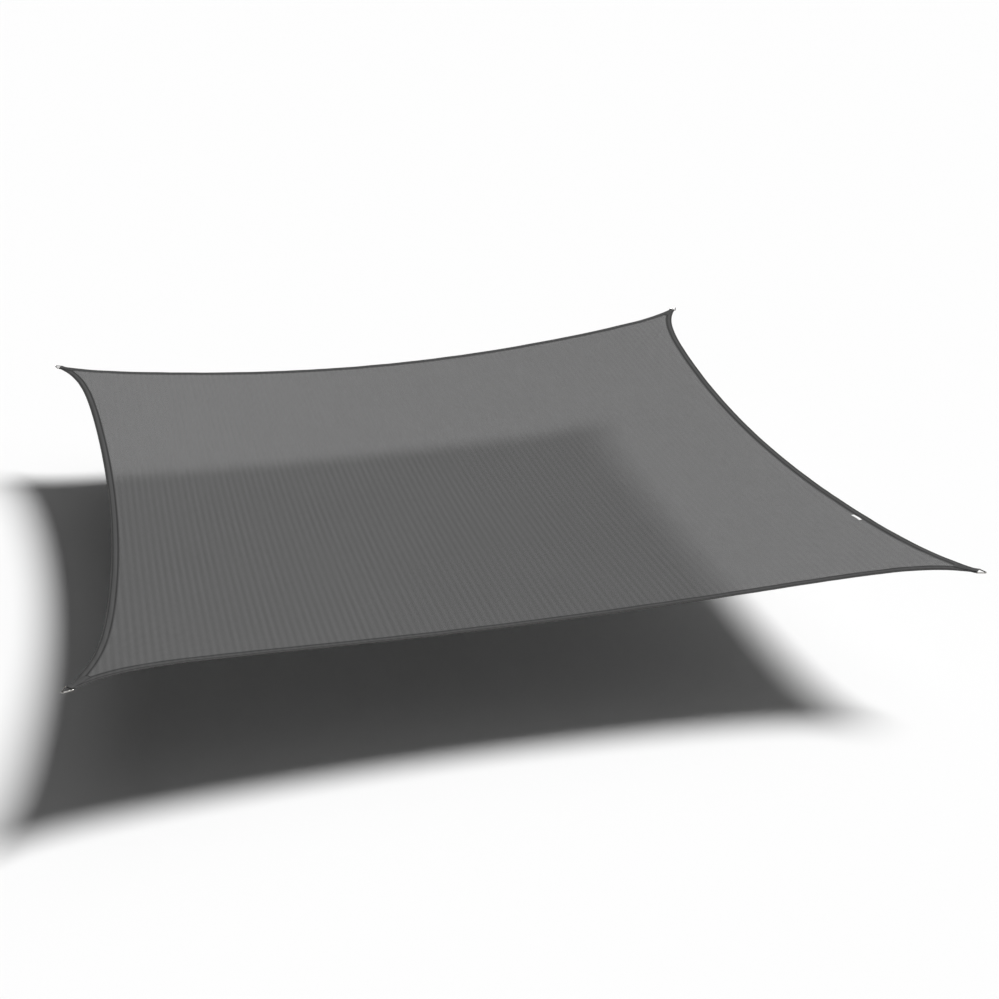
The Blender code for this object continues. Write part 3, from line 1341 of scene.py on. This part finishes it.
@dataclass
class HemStitching:
    """The two rows of thread that hold an edge's hem, on both faces of the cloth.

    Attributes:
        cloth: The cloth that is sewn.
        seam: The stitches' sizes.
        strap_half: Half the width of the corner straps, under which no thread shows.
        strap_length: How far the straps reach in from the rings' bars.
        strap_margin: How many radii of thread a row keeps clear of a strap.
        samples: How many places measure a row's length.
    """

    cloth: SailCloth
    seam: Seam
    strap_half: float
    strap_length: float
    strap_margin: float = 3.0
    samples: int = 2001

    def beside_strap(self, plan: np.ndarray) -> np.ndarray:
        """Find which stitches lie clear of the corner straps.

        Args:
            plan: The X and Y of each stitch.

        Returns:
            Whether each is clear.
        """
        out = self.cloth.shape.side / 2 - np.abs(plan)
        inward = out.sum(-1) / math.sqrt(2)
        aside = np.abs(out[:, 0] - out[:, 1]) / math.sqrt(2)
        margin = self.strap_margin * self.seam.thread
        return (aside > self.strap_half + margin) | (inward > self.strap_length + self.seam.stitch)

    def on_row(self, side: Side, inset: float, share: np.ndarray) -> np.ndarray:
        """Find places on the hem's top face, before the thread presses it in.

        Args:
            side: The edge.
            inset: How far inside it the row of thread runs.
            share: How far along it the places are.

        Returns:
            An array of X, Y and Z.
        """
        plan = self.cloth.shape.edge(side, share, np.full_like(share, inset))
        level = self.cloth.shape.height(*plan.T) + self.cloth.edge_lift(side, share, plan)
        return np.column_stack([plan, level])

    def row(self, side: Side, inset: float, face: Face) -> Shell:
        """Lay one row of stitches.

        Args:
            side: The edge that the row runs along.
            inset: How far inside the edge it runs.
            face: The face of the cloth that it shows on.

        Returns:
            The row, without the stitches that a strap covers.
        """
        shape, cloth = self.cloth.shape, self.cloth
        share = shape.line_shares(inset, np.linspace(0.0, 1.0, self.samples))
        line = shape.edge(side, share, np.full_like(share, inset))
        steps = np.linalg.norm(np.diff(line, axis=0), axis=1)
        length = np.concatenate([[0.0], np.cumsum(steps)])
        places = np.arange(self.seam.stitch, length[-1], self.seam.stitch)
        share = np.interp(places, length, share)
        half = self.seam.stitch / 2 / length[-1]
        middles = self.on_row(side, inset, share)
        ahead, behind = (self.on_row(side, inset, share + way * half) for way in (1, -1))
        runs = unit(ahead - behind)
        level = np.column_stack([-runs[:, 1], runs[:, 0], np.zeros(len(runs))])
        ups = unit(np.cross(runs, level)) * face.value
        middles[:, 2] -= cloth.groove if face is Face.TOP else shape.hem_thickness - cloth.groove
        clear = self.beside_strap(middles[:, :2])
        return self.seam.shell(middles[clear], runs[clear], ups[clear])

    def build(self, finish: bpy.types.Material) -> list[bpy.types.Object]:
        """Add each edge's stitches to the scene as one piece.

        Args:
            finish: The thread's material.

        Returns:
            The four pieces.
        """
        made = []
        for side in Side:
            rows = [self.row(side, inset, face) for inset in self.cloth.rows for face in Face]
            name = f"hem_stitching_{side.name.lower()}"
            made.append(add_piece(Shell.joined(rows), name, [finish]))
        return made


# ---------------------------------------------------------------------------------------------
# The corners
# ---------------------------------------------------------------------------------------------


@dataclass
class CornerRing:
    """A triangular ring of round steel wire, whose base bar lies in the strap's fold.

    Attributes:
        wire: The wire's radius.
        base: The length of the base bar between the corners of the wire's middle line.
        height: The distance from the base bar to the tip of that line, before its bends.
        base_bend: The radius of the middle line's bends at the base.
        tip_bend: The radius of its bend at the tip.
        bend_steps: How many faces follow a bend.
        wire_sides: How many faces go round the wire.
    """

    wire: float = 0.003
    base: float = 0.048
    height: float = 0.048
    base_bend: float = 0.0045
    tip_bend: float = 0.005
    bend_steps: int = 16
    wire_sides: int = 24

    def bend(self, before: Vector, corner: Vector, after: Vector, radius: float) -> list[Vector]:
        """Round off a corner of the wire's middle line.

        Args:
            before: A point on the straight run that comes in.
            corner: Where the two runs would meet.
            after: A point on the straight run that goes out.
            radius: The bend's radius.

        Returns:
            The points of the bend.
        """
        into, out = (before - corner).normalized(), (after - corner).normalized()
        half = into.angle(out) / 2
        centre = corner + (into + out).normalized() * radius / math.sin(half)
        start = corner + into * radius / math.tan(half) - centre
        sweep_angle = -(math.pi - 2 * half) * math.copysign(1, into.cross(out).z)
        shares = [step / self.bend_steps for step in range(self.bend_steps + 1)]
        return [centre + Matrix.Rotation(sweep_angle * share, 3, "Z") @ start for share in shares]

    def shell(self) -> Shell:
        """Bend the wire into its ring.

        Returns:
            The ring in its corner's frame.
        """
        left, right = Vector((0, -self.base / 2, 0)), Vector((0, self.base / 2, 0))
        tip = Vector((self.height, 0, 0))
        path = self.bend(right, left, tip, self.base_bend)
        path += self.bend(left, tip, right, self.tip_bend)
        path += self.bend(tip, right, left, self.base_bend)
        angles = np.arange(self.wire_sides) * 2 * np.pi / self.wire_sides
        section = self.wire * np.column_stack([np.cos(angles), np.sin(angles)])
        ups = np.tile((0.0, 0.0, 1.0), (len(path), 1))
        return sweep(np.array(path), section, ups, closed=True)

    def build(self, corner: Corner, place: Matrix, finish: bpy.types.Material) -> bpy.types.Object:
        """Add a corner's ring to the scene in place of its solid.

        Args:
            corner: The corner.
            place: The corner's frame.
            finish: The steel's material.

        Returns:
            The piece.
        """
        name = f"steel_ring_{corner.label}"
        ring = add_piece(self.shell().moved(place), name, [finish])
        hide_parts(f"ring_{corner.label}")
        return ring


@dataclass
class CornerStrap:
    """A strap of webbing, folded round a ring's base bar and sewn over and under the corner.

    Attributes:
        on_cloth: Half the thickness that the strap's two ends hold between them.
        round_bar: The radius of the bar that it is folded round.
        width: The webbing's width.
        thickness: Its thickness.
        length: How far its two ends reach in from the bar.
        taper: How far from the bar its two ends leave the cloth.
        fold_steps: How many faces follow the fold.
        leg_steps: How many points each end has along it.
        row_inset: How far the rows of thread lie inside its edges.
        groove: How deep they are pressed in.
        groove_half: Half the width of that groove.
        edge_round: How far in from its edge the webbing's rounding reaches.
        edge_steep: How far in the steep part of that rounding reaches.
        edge_height: How much of half the thickness that part rises.
        box_from_bar: How far from the bar the box of stitching starts.
    """

    on_cloth: float
    round_bar: float
    width: float = 0.032
    thickness: float = 0.002
    length: float = 0.105
    taper: float = 0.014
    fold_steps: int = 16
    leg_steps: int = 12
    row_inset: float = 0.0035
    groove: float = 0.0004
    groove_half: float = 0.001
    edge_round: float = 0.0012
    edge_steep: float = 0.0003
    edge_height: float = 0.7
    box_from_bar: float = 0.022

    def path(self) -> np.ndarray:
        """Fold the strap's middle line round the ring's base bar.

        Returns:
            The line's points, from the top end round the bar to the bottom end.
        """
        level = self.on_cloth + GAP + self.thickness / 2
        reach = self.round_bar + GAP + self.thickness / 2
        leg = [(x, level) for x in np.linspace(-self.length, -self.taper, self.leg_steps)]
        angles = np.linspace(math.pi / 2, -math.pi / 2, self.fold_steps + 1)
        fold = [(reach * math.cos(a), reach * math.sin(a)) for a in angles]
        line = leg + fold + [(x, -z) for x, z in reversed(leg)]
        return np.array([(x, 0.0, z) for x, z in line])

    def section(self) -> np.ndarray:
        """Lay out the webbing's section.

        Returns:
            Its points, with rounded edges and with a groove on each face for each row of thread.
        """
        half, thick = self.width / 2, self.thickness / 2
        row = half - self.row_inset
        upper = [
            (half, 0.0),
            (half - self.edge_steep, self.edge_height * thick),
            (half - self.edge_round, thick),
            (row + self.groove_half, thick),
            (row, thick - self.groove),
            (row - self.groove_half, thick),
            (0.0, thick),
        ]
        upper += [(-y, z) for y, z in reversed(upper[:-1])]
        return np.array(upper + [(y, -z) for y, z in reversed(upper[1:-1])])

    def shell(self) -> Shell:
        """Fold the webbing into its strap.

        Returns:
            The strap in its corner's frame.
        """
        path = self.path()
        run = unit(np.gradient(path, axis=0))
        ups = np.column_stack([-run[:, 2], np.zeros(len(run)), run[:, 0]])
        return sweep(path, self.section(), ups, closed=False)

    def stitching(self, seam: Seam) -> Shell:
        """Sew the strap down.

        Args:
            seam: The stitches' sizes.

        Returns:
            The thread in the corner's frame: a box with crossed diagonals on both faces.
        """
        half = self.width / 2 - self.row_inset
        inner, outer = -self.length + self.row_inset, -self.box_from_bar
        corners = [(inner, -half), (outer, -half), (outer, half), (inner, half)]
        lines = list(zip(corners, corners[1:] + corners[:1]))
        lines += [(corners[0], corners[2]), (corners[1], corners[3])]
        parts = []
        for face in Face:
            top = face.value * (self.on_cloth + GAP + self.thickness - self.groove / 2)
            for start, end in lines:
                span = np.subtract(end, start)
                length = float(np.linalg.norm(span))
                count = int(length / seam.stitch)
                shares = (np.arange(count) + 0.5) / count
                middles = np.array([(*(start + span * share), top) for share in shares])
                runs = np.tile((*(span / length), 0.0), (count, 1))
                ups = np.tile((0.0, 0.0, float(face.value)), (count, 1))
                parts.append(seam.shell(middles, runs, ups))
        return Shell.joined(parts)

    def build(
        self,
        corner: Corner,
        place: Matrix,
        finish: bpy.types.Material,
        seam: Seam,
        thread: bpy.types.Material,
    ) -> list[bpy.types.Object]:
        """Add a corner's strap to the scene in place of its solid, and its stitching.

        Args:
            corner: The corner.
            place: The corner's frame.
            finish: The webbing's material.
            seam: The stitches' sizes.
            thread: The thread's material.

        Returns:
            The strap and its stitching.
        """
        label, slot = corner.label, "corner_webbing"
        strap = add_piece(self.shell().moved(place), f"strap_{label}", [finish])
        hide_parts(f"webbing_{label}")
        sewing = self.stitching(seam).moved(place)
        return [strap, add_piece(sewing, f"strap_stitching_{label}", [thread])]


@dataclass
class BlankTag:
    """A small plain tape tag, sewn down by its two ends beside the hem of the right-hand edge.

    Attributes:
        cloth: The cloth that it lies on.
        length: The tape's length.
        width: Its width.
        thickness: Its thickness.
        along_edge: The share of the edge at its middle.
        from_hem: Its distance from the hem.
        arch: How far its middle stands off the cloth.
        steps: How many faces it has along it.
        edge_round: How far in from its long edges it is rounded.
        end_inset: How far inside its ends it is sewn.
    """

    cloth: SailCloth
    length: float = 0.076
    width: float = 0.016
    thickness: float = 0.0006
    along_edge: float = 0.19
    from_hem: float = 0.004
    arch: float = 0.0012
    steps: int = 28
    edge_round: float = 0.0006
    end_inset: float = 0.004

    def surface(self, along: np.ndarray, across: np.ndarray) -> np.ndarray:
        """Find places on the cloth under the tag.

        Args:
            along: Places along the tag from its middle.
            across: Places across it, from its hem side.

        Returns:
            An array of X, Y and Z.
        """
        shape, past_hem = self.cloth.shape, self.from_hem + across
        share = self.along_edge + along / shape.side
        plan = shape.edge(Side.RIGHT, share, shape.hem_width + past_hem)
        lift = self.cloth.edge_lift(Side.RIGHT, share, plan, past_hem)
        level = shape.height(plan[..., 0], plan[..., 1]) + lift
        return np.concatenate([plan, level[..., None]], -1)

    def stand(self, along: np.ndarray) -> np.ndarray:
        """Return how far the tag stands off the cloth, sewn down at its ends and proud between."""
        return GAP + self.arch * np.cos(np.pi * along / self.length) ** 2

    def shell(self) -> Shell:
        """Lay the tape on the cloth.

        Returns:
            The tag, with rounded long edges.
        """
        along = np.linspace(-0.5, 0.5, self.steps + 1) * self.length
        width, inward = self.width, self.edge_round
        across = np.array([0.0, inward, width / 2, width - inward, width])
        rounding = np.array([0.5, 0.0, 0.0, 0.0, 0.5]) * self.thickness
        base = self.surface(*np.broadcast_arrays(along[:, None], across[None]))
        lay = np.dstack(np.broadcast_arrays(along[:, None], across[None]))
        lower, upper = base.copy(), base.copy()
        lower[..., 2] += self.stand(along)[:, None] + rounding
        upper[..., 2] += self.stand(along)[:, None] + self.thickness - rounding
        ends = [
            Shell.grid(np.stack([lower[end], upper[end]]), np.stack([lay[end], lay[end]]))
            for end in (0, -1)
        ]
        # The right-hand edge runs along Y and its inset grows against X, so a grid of them looks up.
        underside = Shell.grid(lower, lay).turned_over()
        return Shell.joined([Shell.grid(upper, lay), underside, ends[0], ends[1].turned_over()])

    def stitching(self, seam: Seam) -> Shell:
        """Sew the tag's two ends down.

        Args:
            seam: The stitches' sizes.

        Returns:
            A short row of thread across each end.
        """
        count = int(self.width / seam.stitch)
        across = (np.arange(count) + 0.5) * self.width / count
        ups = np.tile((0.0, 0.0, 1.0), (count, 1))
        parts = []
        for end in (-1, 1):
            along = np.full_like(across, end * (self.length / 2 - self.end_inset))
            middles = self.surface(along, across)
            runs = unit(self.surface(along, across + STEP) - middles)
            middles[:, 2] += self.stand(along) + self.thickness
            parts.append(seam.shell(middles, runs, ups))
        return Shell.joined(parts)

    def build(
        self, finish: bpy.types.Material, seam: Seam, thread: bpy.types.Material
    ) -> list[bpy.types.Object]:
        """Add the tag to the scene in place of its solid, and its stitching.

        Args:
            finish: The tape's material.
            seam: The stitches' sizes.
            thread: The thread's material.

        Returns:
            The tag and its stitching.
        """
        tag = add_piece(self.shell(), "tape_tag", [finish])
        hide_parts("care_tag")
        return [tag, add_piece(self.stitching(seam), "tag_stitching", [thread])]


# ---------------------------------------------------------------------------------------------
# The studio
# ---------------------------------------------------------------------------------------------


@dataclass
class Studio:
    """A white floor under the sail, two soft lamps high on the right and the photograph's camera.

    Attributes:
        floor_level: The floor's height, from how far the sail's shadow falls beside it.
        floor_radius: How far the floor reaches, past anything that the camera sees of it.
        floor_sides: How many sides it has.
        lamp_run: The direction of the lamps' light, by how far it goes for a metre down.
        lamp_height: How high the lamps hang on that line; their light is the same from any place.
        key_angle: How wide the main lamp looks from the sail, which softens the shadow's edges.
        key_strength: The main lamp's light in watts per square metre, square to it.
        fill_angle: How wide the faint lamp looks, which darkens the floor far around the shadow.
        fill_strength: The faint lamp's light.
        room_light: How much light falls from the room itself.
        room_gloss: How much brighter the room is in what shines, whose wire it draws in grey.
        room_seen: How much brighter it is behind the sail, where it is as white as the floor.
        camera_place: Where the camera stands.
        camera_turn: How far it is turned to the right of +Y, in radians.
        camera_tilt: How far it looks down, in radians.
        focal: The camera's focal length in pixels of the photograph.
        picture: The photograph's width in pixels.
        sensor: The width of the camera's sensor in millimetres.
    """

    floor_level: float = -0.643
    floor_radius: float = 90.0
    floor_sides: int = 96
    lamp_run: tuple[float, float, float] = (-0.662, -0.074, -1.0)
    lamp_height: float = 6.0
    key_angle: float = math.radians(20.5)
    key_strength: float = 4.10
    fill_angle: float = math.radians(90.0)
    fill_strength: float = 0.37
    room_light: float = 0.018
    room_gloss: float = 0.06
    room_seen: float = 1.0
    camera_place: tuple[float, float, float] = (-1.7312, -7.7664, 3.3554)
    camera_turn: float = 0.2535
    camera_tilt: float = 0.4219
    focal: float = 1606.8
    picture: float = 999.0
    sensor: float = 36.0

    def floor(self) -> bpy.types.Object:
        """Lay the floor.

        Returns:
            The floor.
        """
        mesh = bpy.data.meshes.new("studio_floor")
        bm = bmesh.new()
        bmesh.ops.create_circle(
            bm, cap_ends=True, segments=self.floor_sides, radius=self.floor_radius
        )
        bm.to_mesh(mesh)
        bm.free()
        floor = bpy.data.objects.new("studio_floor", mesh)
        floor.location.z = self.floor_level
        bpy.context.scene.collection.objects.link(floor)
        mesh.materials.append(MattPaint().material())
        return floor

    def lamp(self, name: str, strength: float, angle: float) -> bpy.types.Object:
        """Hang a lamp that lights the whole sail alike.

        Args:
            name: The lamp's name.
            strength: Its light in watts per square metre, square to it.
            angle: How wide it looks from the sail.

        Returns:
            The lamp.
        """
        data = bpy.data.lights.new(name, "SUN")
        data.energy = strength
        data.angle = angle
        lamp = bpy.data.objects.new(name, data)
        lamp.rotation_mode = "QUATERNION"
        lamp.rotation_quaternion = Vector(self.lamp_run).to_track_quat("-Z", "Y")
        lamp.location = Vector(self.lamp_run) * -self.lamp_height
        bpy.context.scene.collection.objects.link(lamp)
        return lamp

    def room(self) -> bpy.types.World:
        """Set the room's light: little falls from it, and it looks as white as the floor.

        Returns:
            The scene's world.
        """
        world = bpy.data.worlds.new("white_room")
        world.use_nodes = True
        tree = world.node_tree
        tree.nodes.clear()
        path = add_node(tree, "LightPath").outputs
        strength = self.room_light
        for ray, brighter in (("Is Glossy Ray", self.room_gloss), ("Is Camera Ray", self.room_seen)):
            strength = add_node(
                tree, "Math", {"operation": "MULTIPLY_ADD"}, {0: path[ray], 1: brighter, 2: strength}
            ).outputs[0]
        light = add_node(tree, "Background", {}, {"Color": linear("#ffffff"), "Strength": strength})
        add_node(tree, "OutputWorld", {}, {"Surface": light.outputs[0]})
        bpy.context.scene.world = world
        return world

    def camera(self) -> bpy.types.Object:
        """Set up the camera where the photograph was taken.

        Returns:
            The camera.
        """
        data = bpy.data.cameras.new("photo_camera")
        data.sensor_width = self.sensor
        data.lens = self.focal * self.sensor / self.picture
        camera = bpy.data.objects.new("photo_camera", data)
        camera.location = self.camera_place
        camera.rotation_euler = (math.pi / 2 - self.camera_tilt, 0.0, -self.camera_turn)
        bpy.context.scene.collection.objects.link(camera)
        bpy.context.scene.camera = camera
        return camera

    def build(self) -> None:
        """Set up the floor, the light and the camera."""
        floor = self.floor()
        lamps = [
            self.lamp("key_lamp", self.key_strength, self.key_angle),
            self.lamp("fill_lamp", self.fill_strength, self.fill_angle),
        ]
        for made in (floor, *lamps, self.room(), self.camera()):
            LOG.info("studio: %s", made.name)
        bpy.context.scene.view_settings.view_transform = "Standard"


# ---------------------------------------------------------------------------------------------
# The sail
# ---------------------------------------------------------------------------------------------


def main() -> None:
    """Build the sail's pieces in the order in which its maker makes them, and the studio round it."""
    logging.basicConfig(level=logging.INFO, format="%(name)s: %(message)s")
    shape = HungShape.from_record(frame["record"])
    thread = BondedThread().material()
    webbing = PolyesterWebbing().material()
    tape = SatinTape().material()
    steel = PolishedStainless().material()

    cloth = SailCloth(shape)
    sail = cloth.build([KnittedPolyethylene().material(), SewnHem().material()])

    ring = CornerRing()
    strap = CornerStrap(on_cloth=shape.hem_thickness / 2, round_bar=ring.wire)
    seam = Seam()
    stitching = HemStitching(cloth, seam, strap.width / 2, strap.length)
    with_sail = stitching.build(thread)
    for corner in Corner:
        place = shape.corner_frame(corner)
        ring.build(corner, place, steel)
        with_sail += strap.build(corner, place, webbing, seam, thread)
    # The tag is sewn with fine thread as white as itself.
    fine_seam = Seam(stitch=0.003, thread=0.00025)
    with_sail += BlankTag(cloth).build(tape, fine_seam, tape)

    Studio().build()


if __name__ == "__main__":
    main()
